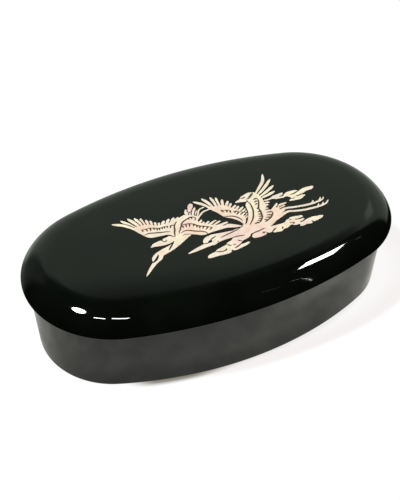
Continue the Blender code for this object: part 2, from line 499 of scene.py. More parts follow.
class Picture:
    """Flat shapes painted one over another; each is dark, a drawn line, or part of a figure."""

    def __init__(self):
        self.shapes = []
        self.figure = None

    def dark(self, outline):
        self.shapes.append((None, outline))

    def cut(self, width, path, belly=0.5, start=0.5, end=0.5):
        """A dark line across what is painted already."""
        self.dark(leaf(path, width, belly, start, end))

    def light(self, outline, rim=0.0):
        """A part of the present figure, with a dark rim round it if asked."""
        if rim:
            self.dark(grown(outline, rim))
        self.shapes.append((self.figure, outline))

    def patch(self, path):
        """A smooth-edged part of the present figure."""
        self.light(smooth(path, closed=True))

    def cloud(self, path):
        """Part of the clouds, whichever the present figure is."""
        self.shapes.append(("clouds", grown(smooth(path, closed=True), -CLOUD_TRIM)))

    def feathers(self, width, paths, bend=0.03):
        """Feathers, each along a path from its root to its tip; the first lies on top."""
        for path in reversed(paths):
            path = as_points(path)
            if len(path) == 2:
                reach = path[1] - path[0]
                path.insert(1, path[0] + reach / 2 + bend * np.array((-reach[1], reach[0])))
            path[0] = path[0] - ROOT_TUCK * (path[1] - path[0])
            self.light(leaf(path, width, belly=0.68, start=0.5, end=0.55), FEATHER_GAP)

    def strokes(self, width, paths):
        """Lines drawn on the shell, thinning out at both ends; they don't show beyond its edge."""
        for path in paths:
            self.shapes.append((DRAWN, leaf(path, width, belly=0.5, start=0.35, end=0.35, steps=16)))

    def ticks(self, width, paths):
        """Short drawn strokes, thick where they start."""
        for path in paths:
            self.shapes.append((DRAWN, leaf(path, width, belly=0.25, start=0.3, end=0.6, steps=8)))

    def plates(self):
        """Points in millimetres and, for every figure, the triangles that show it."""
        points, edges = [], []
        for _, outline in self.shapes:
            first = len(points)
            count = len(outline)
            points += [Vector(point) for point in outline]
            edges += [(first + index, first + (index + 1) % count) for index in range(count)]
        places, _, faces = delaunay_2d_cdt(points, edges, [], WHOLE_HULL, MERGE_DISTANCE, False)[:3]
        places = np.array([tuple(place) for place in places])
        faces = np.array([tuple(face) for face in faces])
        centres = places[faces].mean(axis=1)
        owner = np.full(len(faces), -1)
        names = sorted({figure for figure, _ in self.shapes if figure})
        for figure, outline in self.shapes:
            inside = inside_outline(centres, outline)
            if figure == DRAWN:
                inside &= owner >= 0
            owner[inside] = names.index(figure) if figure else -1
        corners = places[faces]
        first, second = corners[:, 1] - corners[:, 0], corners[:, 2] - corners[:, 0]
        clockwise = first[:, 0] * second[:, 1] < first[:, 1] * second[:, 0]
        faces[clockwise] = faces[clockwise][:, ::-1]
        return places, {name: faces[owner == index] for index, name in enumerate(names)}


def inside_outline(points, outline):
    """Which points an outline winds round."""
    low, high = outline.min(axis=0), outline.max(axis=0)
    near = np.all((points > low) & (points < high), axis=1)
    chosen = points[near]
    turns = np.zeros(len(chosen))
    for start, end in zip(outline, np.roll(outline, -1, axis=0)):
        way, off = end - start, chosen - start
        side = way[0] * off[:, 1] - way[1] * off[:, 0]
        turns += (start[1] <= chosen[:, 1]) & (end[1] > chosen[:, 1]) & (side > 0)
        turns -= (start[1] > chosen[:, 1]) & (end[1] <= chosen[:, 1]) & (side < 0)
    result = np.zeros(len(points), bool)
    result[near] = turns != 0
    return result


# One end of the cloud over the right crane's legs, which is painted again over its wing's rim
CLOUD_END_TOP = (27.4, 3.1, 29, 3.1, 31, 3.2, 32.6, 3.9, 34, 4.2)
CLOUD_END_FOOT = (31.6, 2.1, 30, 1.9, 28, 2.2)


def left_crane(art):
    art.figure = "left_crane"
    # far wing
    art.feathers(1.4, (
        (-24.6, 6.6, -22.7, 9.1), (-22.8, 6.2, -20.2, 9.5), (-20.6, 6.2, -17.7, 9.7),
        (-18.4, 6.2, -15.3, 9.5), (-16, 6.2, -13.4, 8.9), (-13.8, 6, -11.5, 8.8),
    ))
    art.feathers(1.4, (
        (-29.3, 9, -29.5, 15.5), (-27.9, 8.6, -27.5, 13.6), (-26.5, 8, -26, 12.1), (-25.3, 7, -24.5, 10.3),
    ))
    art.feathers(1.6, (
        (-33.8, 8.4, -36.2, 11.8, -38.8, 14.5, -42.9, 17), (-33.2, 9, -35.4, 13, -38.3, 17.7),
        (-31.9, 9.2, -33, 13.2, -35, 17.7), (-30.7, 9, -31.1, 13, -32, 16.8),
    ))
    art.patch((
        -20.2, -2.6, -21.6, -0.8, -25.3, 0.4, -29.4, 1, -31.3, 2, -32.5, 3.8, -33.9, 6.4, -35, 8.8,
        -35.8, 10.2, -34.4, 10.6, -32, 10.8, -29, 10.3, -26.8, 9.4, -25.2, 8, -23, 7.4, -18, 7.2, -13, 7,
        -14, 1,
    ))
    # tail and legs
    art.feathers(1.15, (
        (-7, 7, -5.4, 9.8, -3.6, 12), (-6.6, 6.6, -4.9, 8.6, -4, 10.2), (-8.4, 7, -6.8, 9.6),
    ))
    for path in (
        (-7, 4, -4.8, 6.4, -3, 9.2, -1.4, 10.1, 1.2, 10.5), (-7, 3.4, -4.4, 5.4, -2.4, 7, -0.6, 7.7, 3, 8),
    ):
        art.light(leaf(path, 0.8, 0.5, 0, 0.3), GAP)
    # neck, body and back between the wings
    art.patch((
        -20.2, -2.8, -19.2, 0.6, -18, 3, -17, 5.4, -16, 8, -14, 8.4, -12, 8.2, -10.8, 9.2, -9, 8.6, -7, 7.6,
        -5.8, 6.2, -4.6, 5, -5.8, 3.6, -7.5, 2, -12, -2, -16, -4,
    ))
    art.patch((
        -33.9, -14.6, -35.5, -13.2, -34.8, -11, -32.4, -9.1, -29.2, -8, -26.3, -7.3, -23.4, -6.4, -22, -5.5,
        -20.4, -2.9, -17, -1.6, -14.5, -2.6, -13, -4.3, -16.3, -6.2, -20, -8.2, -23.6, -9.9, -26.6, -10.9,
        -29.6, -11.8, -31.4, -13.7,
    ))
    art.light(leaf((-30.8, -12.2, -35.6, -15, -41.7, -20.7), 1.9, 0.2, 0.3, 0.7))
    # near wing
    art.feathers(1.45, ((-1, -4, 5.6, -3.7), (-1.4, -3.1, 2.8, -1.5), (-2.8, -1.6, 1.4, -0.4)), bend=-0.04)
    art.feathers(1.1, ((-4.6, -0.9, -1.9, 0.5), (-6, -0.5, -4.1, 0.9), (-6.6, 0.9, -4.6, 2.8)), bend=-0.04)
    art.patch((
        -17.6, -2.4, -16.4, 1.2, -13.8, 4.6, -10.2, 6.2, -7.4, 5.8, -6.4, 4, -6.4, 1.8, -5.4, 0.5,
        -4.3, -0.1, -3.4, -1.1, -2, -2.3, 0, -3.5, 2.2, -4.8, 5, -5, 7.4, -6.4, 10.1, -8.9, 7.4, -8.6,
        5.1, -7.7, 2.8, -7.1, -3, -6.9, -6.2, -7.1, -8.2, -7.1, -9.6, -6.4, -11.2, -5.2, -13.2, -4.2,
    ))
    # lines
    art.strokes(0.5, ((
        -32, 7.6, -31.2, 7.9, -30, 7.4, -28.8, 7.8, -27.6, 7.2, -26.2, 6.6, -25, 5.9, -23.8, 5.5,
        -21.9, 5.6, -20, 5.2,
    ),))
    art.ticks(0.8, (
        (-31.8, 8, -31.8, 6.3), (-29.9, 7.7, -29.9, 5.7), (-27.9, 7.5, -28.5, 5.4),
        (-26.5, 6.8, -26.8, 5.3), (-25.3, 6, -25.7, 4.5), (-24.3, 5.7, -24.6, 4.2), (-23, 5.5, -23.3, 4.3),
        (-21.8, 5.7, -22.3, 4.2), (-20.5, 5.4, -20.9, 4.1),
    ))
    art.strokes(0.78, (
        (-32.4, 4, -30, 4.3, -27.5, 3.5, -25, 2.7, -22.5, 2, -20.6, 1.2),
        (-20.3, -2.9, -19.7, -1.3, -19.3, 0, -18.7, 1, -18.2, 2.4, -17.5, 4.2, -16.7, 5.2, -15.3, 6.5),
        (-19.8, 3.4, -19.3, 4.5, -18.6, 5, -17.6, 4.6),
        (-17.7, -1.8, -17.2, -0.3, -16.2, 0.5, -15.6, 1.6, -14.6, 2.9, -14, 4.1, -13, 4.9, -11.6, 5.6,
         -9.9, 6.1, -8.8, 6.5, -7.6, 6.3, -6.6, 5.5, -6.8, 4.3, -7.9, 3.4),
    ))
    art.strokes(0.75, (
        (-17, -1.6, -14.9, -1, -13.3, -1.2, -11.9, -2.2, -10.2, -3.3, -8.3, -4.2, -6.9, -5.2, -6.2, -6.3,
         -6.2, -7.4),
        (-14.3, 3.1, -13.2, 3.3, -12.1, 2.9, -10.9, 2.7, -9.2, 1.6, -8.2, 0.1, -7, -1, -5.6, -1.7,
         -4, -2.8, -2.6, -3.9),
    ))
    art.ticks(0.8, (
        (-14.3, 3.2, -14.3, 0.8), (-12.3, 3, -13, 0.8), (-10.7, 2.7, -11.6, 0.5), (-8.9, 1.6, -10, 0),
        (-8.1, 0, -8.9, -1.3), (-7.1, -1.1, -8, -2.3), (-5.6, -1.7, -6.7, -3.1), (-3.9, -2.9, -5.9, -4.3),
        (-2.5, -3.9, -4.3, -5.3), (-9.7, 6.1, -9.6, 5.1), (-8.1, 6.4, -8.4, 5.1),
    ))
    art.strokes(0.45, ((-16.9, -3.5, -15.3, -3.2, -13.7, -3.9, -12.9, -4.4),))
    art.strokes(0.6, (
        (-1.6, -2.2, 0, -1.5, 1.1, -0.8), (0, -3.2, 1.4, -2.8, 2.9, -2.1),
        (2.4, -5.1, 3.8, -4.8, 5.2, -4.6),
    ))
    art.strokes(0.8, ((-26.3, -9.7, -24, -7.4, -21.8, -5.2),))
    art.cut(1.1, (-35.8, -14.2, -33.4, -12.6, -31.6, -10.4))
    art.cut(0.8, (-24.5, 0.1, -22.2, -0.8, -20.2, -3), 0.4, 0.5, 1.0)


def right_crane(art):
    art.figure = "right_crane"
    # far wing
    art.feathers(1.2, (
        (11, 3.6, 14.3, 5.5), (11.8, 2, 15.3, 4.3), (12.6, 0.8, 16.9, 2.9), (12.8, -0.8, 17.2, 1.4),
        (13, -2.2, 17, -0.2), (12.8, -3.6, 16.6, -1.8), (12.4, -5, 16, -3.4), (12.2, -6.2, 15.2, -4.8),
    ), bend=-0.03)
    art.feathers(1.65, ((2.5, 8.6, 0.7, 12.2, -2.8, 16), (4, 7.8, 3.3, 12.4, 1.7, 16.4)))
    art.feathers(1.35, (
        (5.6, 7.6, 6, 11.8, 5.8, 15.8), (7.2, 7.4, 8.2, 14.4), (8.6, 7, 10.3, 11.8), (9.5, 5.8, 12.4, 9.7),
        (10.4, 4.8, 13, 7.6),
    ))
    wing = (
        11.6, -8.4, 10.8, -5.6, 9.6, -3.8, 8.3, -2.2, 6.7, -0.9, 5.6, 0.4, 4.9, 2.1, 4, 4.4, 2.8, 6.6,
        1.6, 8.7, 2.4, 9.7, 4.6, 8.8, 6.6, 8.5, 8.8, 8, 10.4, 6.2, 11.6, 4.6, 12.8, 3, 14, 1.3, 14.5, -0.6,
        14.6, -2.6, 14.3, -4.4, 13.6, -6.4, 13, -9,
    )
    art.patch(wing)
    # legs, feet and tail
    for path in (
        (31, -7.2, 34.3, -6.4, 37.6, -7.3, 42, -8.2, 46, -8.7, 49, -8.7, 52, -8.3, 53.5, -7.7, 54.5, -6.7),
        (29.5, -10.4, 34, -8.9, 37, -10, 40, -10.8, 43, -11.4, 46.6, -11.7, 50, -11.8, 52.8, -11.4,
         54.2, -10.6, 55.3, -9.5),
    ):
        art.light(leaf(path, 1.22, 0.6, 0, 0.45), GAP)
    for path in (
        (46.4, -8.6, 47.7, -7.8, 48.9, -6.8), (50.2, -8.6, 51.8, -7.6, 53.1, -6.2),
        (48, -11.6, 49, -11, 49.9, -10), (50.6, -11.6, 51.6, -10.8, 52.4, -9.8),
    ):
        art.light(leaf(path, 0.72, 0.35, 0.3, 0.8))
    art.feathers(1.2, (
        (28, -4.6, 30.4, -3.2, 32.4, -1.5), (29, -4.8, 32.8, -3.3, 36.5, -3.1),
        (30, -5.8, 33, -4.6, 35, -4.5),
    ))
    # raised wing: its flight feathers, then what they spring from
    raised = (
        13.3, -7.2, 14.9, -5.4, 16, -4, 16.9, -2.2, 17.6, -0.2, 17.9, 1.6, 18.5, 3.5, 19.7, 5, 20.6, 5.3,
        21, 6.6, 22.6, 8, 25.6, 10.3, 26.7, 9.6, 27.3, 8, 27.6, 6, 27.7, 4, 27.4, 2.2, 27.2, 0.6,
        26.9, -1.5, 26.9, -3.4, 27.3, -5, 27.1, -7, 25.8, -8.6, 24.2, -9.6, 22, -10.8, 18, -10.8, 13, -10.2,
        12.4, -8.6,
    )
    art.dark(grown(smooth(raised, closed=True), GAP))
    art.cloud(CLOUD_END_TOP + (35, 3.4, 33.4, 1.8) + CLOUD_END_FOOT)
    art.feathers(1.15, ((27.2, 1.2, 29.5, 0.6), (26.6, -0.3, 28.3, -0.8)))
    art.feathers(1.5, (
        (26.6, 9, 30.4, 12.3, 34.2, 16, 36.7, 20.8), (27.3, 7.8, 31.2, 10.2, 35, 13.1, 38.2, 15.8),
        (27.8, 6.3, 32, 8.1, 37.4, 10.9), (28, 4.9, 31.6, 5.6, 35.8, 6.8),
    ))
    art.cut(0.5, (28, 3.7, 31, 4.1, 34, 4.6))
    # neck, body and beak
    art.patch((
        8, -9.6, 12, -9.4, 17, -8, 25, -7, 27, -4.8, 29.2, -3.9, 31.6, -4.6, 34, -5.8, 33.4, -7.6, 32, -9.6,
        30, -10.9, 26, -12.4, 22.4, -14.3, 20, -15, 17, -15, 12, -15.3, 8, -15.4, 3, -14.3, 4, -10.4,
    ))
    art.patch((
        -7, -15, -10.2, -12.7, -10.3, -10.8, -8.4, -9, -5.2, -8.4, -2.4, -8.8, 0, -9.2, 3, -9.7, 7, -9.9,
        11.4, -8.3, 13, -11, 10, -14.4, 3, -14, -1, -13.9, -4.4, -14.3,
    ))
    art.light(leaf((-5.6, -13.6, -11, -13.9, -19.7, -15.4), 2.4, 0.2, 0.3, 0.7))
    art.patch(raised)
    # lines of the far wing
    art.ticks(0.85, (
        (6.4, 5.1, 7.1, 2.9), (8.9, 4, 8.2, 2.2), (10.2, 3, 9.5, 1.3), (12.6, 1.6, 11.1, 0.5),
        (13.4, 0.4, 11.4, -0.9), (15.1, -0.5, 12.9, -1.8), (15.9, -2, 14, -3), (14.8, -5.3, 13.2, -7.3),
        (16.7, 1.7, 15.5, 1),
    ))
    art.strokes(0.5, (
        (6.6, 5, 7.7, 4.3, 9, 3.9, 10.3, 3), (10.9, 1.7, 12.6, 1.5, 13.4, 0.4, 14.8, -0.1),
        (15, -0.5, 16, -1.2, 16.6, -2.2),
    ))
    art.strokes(0.78, (
        (5.8, 0.1, 7.2, -0.2, 9.3, -1, 10.8, -2.4, 11.7, -4.3, 12, -6.2),
        (20, 5.8, 20.6, 4.8, 20.8, 3.6, 20.6, 1.6, 19.7, -1.7, 18.3, -4.5, 17, -6.6, 15.1, -8.5,
         13.6, -9.8),
        (21.5, 6.7, 23.3, 8, 25.9, 10.1), (12.8, -8.2, 13.5, -7, 14.9, -5.3),
    ))
    # lines of the raised wing
    art.strokes(0.85, (
        (25.4, 6.2, 25.6, 4.7, 24.8, 2.4, 23.4, 0, 22.6, -1.6, 22.8, -2.9, 22.2, -5, 21.6, -7.3,
         20.2, -8.8, 19, -10, 16.8, -10.4),
        (27.4, -6, 26.8, -7.4, 25.4, -8.8, 24.2, -9.6, 22.4, -10.5, 20.8, -11),
    ))
    art.ticks(0.9, (
        (25.4, 5.8, 23.2, 5.3), (24.9, 4, 22.8, 3.4), (24, 2.3, 22.5, 1.7), (22.8, -0.9, 21.8, -1.3),
        (22.4, -3.2, 21.2, -3.4), (22, -5.2, 20.5, -4.9), (21.7, -6.7, 20, -6.3), (21, -8.1, 19.2, -7.5),
        (19.9, -9.2, 18.2, -8.5), (18.3, -10.2, 17.2, -9.3), (16.9, -10.4, 16.3, -9.7),
        (27.6, -3.9, 25, -3.3), (27.4, -6, 24.6, -5.3), (26.4, -7.9, 23.6, -6.9), (25, -9.1, 22.6, -8.2),
        (22.9, -10.3, 21.2, -9.2), (27.7, -2.2, 26, -2),
    ))
    # body, neck and head
    art.cut(0.6, (30.4, -9.1, 32.6, -8.1, 34.4, -7.6, 36.6, -8.3), 0.7, 0.8)
    art.strokes(0.7, (
        (-2.3, -12.1, -0.4, -11.6, 3, -11, 7, -10.3, 9, -9.7),
        (2.4, -14.3, 4.4, -14.2, 6.2, -14.5, 8.5, -15),
        (11.6, -15.6, 13.4, -15.3, 15.6, -15.1, 18.8, -14.6), (31, -6.1, 32.8, -5.5, 35, -5.4),
    ))
    art.cut(0.9, (7.6, -9.3, 8.8, -9.5))
    art.cut(0.5, (8, -9.5, 9.6, -9.3, 11, -8.6))
    art.cut(0.8, (9, -17.7, 10.6, -16.7, 11.5, -15.8, 12.7, -15.2), 0.5, 0.4, 0.8)
    art.strokes(0.65, (
        (-7, -11.9, -6.6, -11.2, -5.6, -10.7, -3.5, -10.2), (-10.5, -12.4, -9, -12.8, -7.6, -12.5),
    ))
    art.cut(1.5, (-8.6, -12.5, -7.5, -12.3, -6.6, -11.5), 0.6, 0.6)
    art.ticks(0.6, ((-4.3, -14.2, -4.2, -13.1),))


def clouds(art):
    # by the left crane's neck
    art.cloud((
        -32.8, -4.8, -32.3, -3.9, -31.2, -3, -29.8, -2.5, -27.8, -2.2, -26.5, -2.4, -25.6, -1.6,
        -23.9, -1.4, -22, -0.9, -20.2, -2.4, -20.4, -4.4, -22.1, -5.3, -23.5, -5.8, -25.3, -6, -28.5, -5.7,
        -30.5, -5.2,
    ))
    art.strokes(0.6, ((-26.5, -2, -26.3, -3.2, -25.6, -3.8, -24.8, -3.5, -24.6, -2.9),))
    # above its tail
    art.cloud((
        -9.8, 9, -9.8, 10.4, -9.2, 11.6, -8.2, 12.6, -7.4, 12, -6.9, 13.2, -6.1, 14.6, -4.6, 15.5,
        -3.6, 14.6, -4, 13, -5.2, 11.5, -6.4, 9.6, -6.4, 7.6, -8.6, 7.4,
    ))
    art.strokes(0.55, ((-7.5, 12.2, -8, 11, -7.7, 10),))
    # over the right crane's legs
    art.cloud(CLOUD_END_TOP + (
        36, 4.3, 38, 4.5, 38.5, 3.9, 38.2, 3, 39, 3, 40, 3.7, 41.6, 3.8, 43.2, 3.7, 44.8, 3.4, 45.8, 2.8,
        46, 2.3, 47.2, 2.6, 48.6, 3, 50.6, 3.2, 52.7, 3, 54.1, 2.5, 54.1, 1.9, 53.5, 1.2, 52.1, 0.5,
        50, 0.5, 49, 0.3, 47.4, -0.2, 46.6, -0.5, 46.4, -1, 47.6, -1.5, 47, -2.2, 46, -2.8, 44.6, -3.4,
        43, -3.6, 41.2, -3.3, 39.6, -3.1, 38.4, -2.6, 38.8, -1.8, 40, -1.4, 40, -0.7, 39.6, 0.1, 39, 0.7,
        38, 0.9, 37.2, 0.6, 36, 0.7, 34.6, 1, 33.4, 1.2, 32.6, 1.7,
    ) + CLOUD_END_FOOT)
    art.cut(0.6, (39, 4.1, 38.4, 3.1, 37.4, 2.4), 0.4, 0.5, 1.0)
    art.strokes(0.75, (
        (38.6, 3.3, 37.4, 2.3, 35.6, 2.2), (40.8, 1.3, 42.8, 1.3, 44.6, 1.8, 46.4, 2.5),
        (43, -0.6, 44.4, -0.8, 47, -0.5),
    ))
    art.strokes(0.55, ((40, -1.5, 41.2, -1.6, 42, -1.3),))
    # under its neck
    art.cloud((
        -13, -21.5, -12.8, -20.8, -12, -19.9, -10, -19.4, -8, -19, -7.8, -18.6, -7, -18.2, -5.2, -17.8,
        -4, -17.5, -2, -17.1, -1.6, -16.8, -1.2, -16.2, 0, -15.8, 1.6, -15.3, 2.6, -14.4, 4.8, -14.2,
        8.2, -14.6, 11.4, -15.5, 10.4, -16.5, 9, -17.3, 7, -17.7, 5.9, -18, 5, -18.7, 3.8, -19.4,
        4.8, -19.6, 6, -19.6, 7.4, -19.4, 8.4, -19.8, 8.2, -20.4, 7, -21, 5, -21.6, 3, -21.9, 1, -22.2,
        -0.7, -21.9, -1.2, -21.2, -1.5, -21.9, -2, -22.4, -3.6, -22.8, -6, -22.6, -8, -22.3, -10, -22.2,
        -12, -22.1,
    ))
    art.strokes(0.7, (
        (0.4, -20.7, 1.8, -20.4, 3, -19.9, 4.4, -19.3),
        (-8, -19.2, -6.8, -19.9, -5.6, -20.3, -4.4, -20.4, -3.5, -20.2, -2.8, -19.4),
        (-1.6, -17.1, -1, -17.9, 0, -18.5), (4.1, -16.4, 4.6, -17.3, 5.6, -17.9),
    ))
    art.strokes(0.5, ((0.7, -18.2, 1.4, -18.7, 2.2, -18.5),))
    art.cut(0.7, (-3.9, -20.3, -2.9, -19.6))
    # under its body
    art.cloud((
        10.7, -17.4, 10.9, -16.8, 11.8, -16, 13.1, -15.5, 15, -15.2, 18.4, -14.7, 21, -14.5, 23.6, -14.8,
        25.3, -14.9, 27.3, -15, 28.9, -14.8, 29.6, -14.2, 30.4, -13.7, 31.5, -13.6, 32, -13.1, 33.1, -12.8,
        34.7, -13.1, 36, -13.3, 37.6, -13.6, 38.5, -14.1, 38.6, -14.8, 37.8, -15.3, 36.6, -15.4,
        35.4, -15.5, 36.6, -15.9, 38.4, -16, 38.5, -16.5, 37.6, -17.1, 38.7, -17.3, 39.6, -17, 41.3, -16.9,
        42.7, -16.8, 44.4, -17.2, 46.2, -17.4, 47.2, -18, 47, -18.7, 45.8, -19.5, 44, -19.9, 42.7, -20.1,
        41.3, -20.2, 40.8, -19.9, 40.3, -20.6, 39.1, -20.8, 37.6, -20.4, 36, -20.6, 34.7, -20.5,
        33.9, -19.9, 34.6, -19.1, 33.8, -18.9, 32.7, -18.9, 31.6, -18.4, 31.1, -17.8, 30.4, -17.8,
        29.6, -18.2, 28.4, -18.8, 26.9, -18.9, 26, -19.2, 24.9, -19.7, 23.6, -19.7, 22.4, -19.4,
        21.3, -19.2, 20.6, -18.5, 19.8, -18.4, 18.9, -18.3, 18.3, -17.7, 17.9, -18.4, 16.9, -18.8,
        14.7, -19.1, 12.2, -18.9, 11.1, -18.3,
    ))
    art.cut(0.45, (39.3, -15.5, 37.4, -15.6, 35.9, -15.6), 0.4, 0.5, 1.0)
    art.strokes(0.75, (
        (20.5, -18.4, 21.9, -17.5, 23.4, -16.7), (26.6, -17.1, 26.1, -18, 25.6, -18.6),
        (38.4, -17.1, 37, -17.6, 35.4, -17.7), (37.4, -15.6, 36, -15.6, 34.8, -15.4),
    ))
    art.cut(0.9, (36.4, -17.5, 35.5, -17.8))
    art.cut(0.6, (18.2, -19.1, 18.5, -17.6), 0.3, 0.5, 0.8)
    art.ticks(1.1, ((32.6, -16.7, 32, -17.7), (17.3, -16.9, 16.3, -17.2)))
    art.ticks(0.8, ((40.8, -20.3, 40.6, -18.9), (34.3, -15, 35.1, -15.6), (31.8, -14, 32.6, -14.6)))
    art.strokes(0.5, ((30.9, -15.9, 31.5, -16.4, 32.2, -17), (17, -17, 17.8, -17.1, 18.3, -17.8)))
    # behind the raised wing
    art.cloud((
        14.7, 7, 15.6, 7.8, 17.2, 8.3, 18.4, 9.1, 19, 9.9, 20.1, 10.3, 21.7, 10.7, 23.3, 11.1, 25, 10.9,
        26.2, 10.4, 25, 9, 23, 7.4, 21, 6.4, 20, 5.6, 18.7, 5.7, 17.1, 6.3, 15.4, 6.5,
    ))
    art.strokes(0.62, ((18.5, 8.5, 19.6, 8.5, 21, 8.8),))


INLAY_PROUD = 0.03 * MM
INLAY_SUNK = 0.15 * MM
PICTURE_HEIGHT = 46.8 * MM


def on_crown(x, y):
    """The point of the crown that hides behind a point of the flat picture, seen by the camera."""
    eye = CAMERA_TARGET + CAMERA_BACK * CAMERA_DISTANCE
    height = crown_height(LID_OVAL.inset_at(x, y))
    reach = (eye.z - height) / (eye.z - PICTURE_HEIGHT)
    x, y = eye.x + (x - eye.x) * reach, eye.y + (y - eye.y) * reach
    return x, y, crown_height(LID_OVAL.inset_at(x, y))


def shared_edges(faces):
    """The numbers of the triangles at every edge."""
    edges = {}
    for number, face in enumerate(faces):
        for index in range(3):
            edges.setdefault(frozenset((face[index], face[index - 2])), []).append(number)
    return edges


def leading_corners(faces, edges):
    """For every corner of a triangle, the one that leads those it hangs together with across edges."""
    leaders = {(number, vertex): (number, vertex) for number, face in enumerate(faces) for vertex in face}

    def leading(corner):
        while leaders[corner] != corner:
            corner = leaders[corner]
        return corner

    for edge, numbers in edges.items():
        for vertex in edge:
            for number in numbers[1:]:
                leaders[leading((number, vertex))] = leading((numbers[0], vertex))
    return {corner: leading(corner) for corner in leaders}


def inlay_piece(name, places, faces, material):
    """A thin closed plate over some triangles of the picture, following the lid's top.

    Triangles that meet in a single point get a point each, so that the plate stays a proper solid.
    """
    edges = shared_edges(faces)
    leaders = leading_corners(faces, edges)
    order = {leader: index for index, leader in enumerate(dict.fromkeys(leaders.values()))}
    corners = {corner: order[leader] for corner, leader in leaders.items()}
    points = [on_crown(*places[vertex] * MM) for _, vertex in order]
    count = len(points)
    top = [(x, y, z + INLAY_PROUD) for x, y, z in points]
    bottom = [(x, y, z - INLAY_SUNK) for x, y, z in points]
    skin = []
    for number, face in enumerate(faces):
        a, b, c = (corners[number, vertex] for vertex in face)
        skin += [(a, b, c), (c + count, b + count, a + count)]
        for index in range(3):
            first, second = face[index], face[(index + 1) % 3]
            if len(edges[frozenset((first, second))]) == 1:
                start, end = corners[number, first], corners[number, second]
                skin.append((start, start + count, end + count, end))
    return add_piece(name, top + bottom, skin, material)


# Camera, light and floor

CAMERA_TARGET = Vector((0.983, 15.807, 15.0)) * MM
CAMERA_DISTANCE = 424.034 * MM
CAMERA_AZIMUTH = radians(-25.632)
CAMERA_ELEVATION = radians(42.664)
CAMERA_ROLL = radians(0.223)
CAMERA_BACK = Vector((
    sin(CAMERA_AZIMUTH) * cos(CAMERA_ELEVATION), -cos(CAMERA_AZIMUTH) * cos(CAMERA_ELEVATION),
    sin(CAMERA_ELEVATION),
))
SENSOR = 36.0
FOCAL_PIXELS = 860.8
IMAGE_HEIGHT = 500


def stand(thing, place, right, up, back):
    """Put a camera or a lamp in its place, with its own axes along three directions."""
    thing.matrix_world = Matrix.Translation(place) @ Matrix((right, up, back)).transposed().to_4x4()


def place_camera():
    """The camera at the photograph's angle; azimuth 0 looks along +Y."""
    back = CAMERA_BACK
    level = Vector((cos(CAMERA_AZIMUTH), sin(CAMERA_AZIMUTH), 0.0))
    upright = back.cross(level)
    right = level * cos(CAMERA_ROLL) + upright * sin(CAMERA_ROLL)
    data = bpy.data.cameras.new("camera")
    data.sensor_width = SENSOR
    data.lens = FOCAL_PIXELS * SENSOR / IMAGE_HEIGHT
    data.clip_start = 0.01
    data.clip_end = 50.0
    camera = put_in_scene("camera", data)
    stand(camera, CAMERA_TARGET + back * CAMERA_DISTANCE, right, back.cross(right), back)
    bpy.context.scene.camera = camera


LAMP_DISTANCE = 3.0

# Shape, azimuth from +Y towards +X, elevation, long and short side and turn in degrees, radiance
LAMPS = {
    "left_softbox": ("ELLIPSE", -81.0, 60.3, 10.8, 10.1, 17.0, 88.0),
    "front_left_panel": ("RECTANGLE", -120.5, 62.1, 8.6, 1.4, -22.0, 65.0),
    "front_panel": ("RECTANGLE", -153.1, 65.8, 10.9, 1.9, 5.6, 48.0),
    "right_softbox": ("RECTANGLE", 107.5, 53.5, 7.5, 8.8, -11.0, 62.0),
    "far_strip": ("ELLIPSE", 140.0, 30.0, 15.5, 0.1, 100.0, 30.0),
    "faint_strip": ("ELLIPSE", 146.3, 44.1, 6.4, 0.3, 65.0, 1.5),
    "faint_spot": ("ELLIPSE", 104.0, 44.0, 2.4, 1.2, 90.0, 0.9),
    "rising_strip": ("ELLIPSE", 138.3, 41.0, 5.5, 0.15, 75.0, 8.0),
}
LAMP_TINT = (0.97, 0.98, 1.0)


def add_lamp(name, shape, azimuth, elevation, long_side, short_side, turn, radiance):
    """A flat lamp far away, of a given size as seen from the box."""
    around, rise, turn = radians(azimuth), radians(elevation), radians(turn)
    out = Vector((cos(rise) * sin(around), cos(rise) * cos(around), sin(rise)))
    across = Vector((cos(around), -sin(around), 0.0))
    side = across * cos(turn) + across.cross(out) * sin(turn)
    data = bpy.data.lights.new(name, "AREA")
    data.shape = shape
    data.size = 2 * LAMP_DISTANCE * tan(radians(long_side) / 2)
    data.size_y = 2 * LAMP_DISTANCE * tan(radians(short_side) / 2)
    area = data.size * data.size_y * (pi / 4 if shape == "ELLIPSE" else 1.0)
    data.energy = radiance * pi * area
    data.color = LAMP_TINT
    stand(put_in_scene(name, data), out * LAMP_DISTANCE, side, out.cross(side), out)


BACKDROP_TINT = (0.88, 1.0, 0.86)
BACKDROP_RADIANCE = 0.42
WINDOW_RADIANCE = 0.5
ROOM_RADIANCE = 0.004

# Edges of the backdrop: the angles where a ramp starts and ends, and its values there if not 0 and 1
LEFT_EDGE = (-45.0, -33.0)
MAIN_EDGE = (-21.0, -13.0, 0.34, 1.0)
RIGHT_EDGE = (80.0, 87.0)
TOP_EDGE = (46.0, 56.0, 0.86, 0.0)
HAZE_EDGE = (52.0, 70.0, 0.14, 0.0)

# How an edge slants: below which angle of the other kind, and by how much for every degree
MAIN_SLANT = (-14.0, -0.5)
RIGHT_SLANT = (-2.0, 1.4)
TOP_SLANT = (2.0, 0.36)

# Brighter places: the angles between which they rise and then fall, and the gap in the low one
GLOW_ELEVATION = (-32.0, -22.0, -14.0, -5.0)
GLOW_GAP_CENTRE = 22.0
GLOW_GAP_EDGE = (16.0, 30.0)
GLOW_SHARE = 0.5
WINDOW_AZIMUTH = (53.0, 62.0, 68.0, 79.0)
WINDOW_ELEVATION = (27.0, 34.0, 38.0, 44.0)


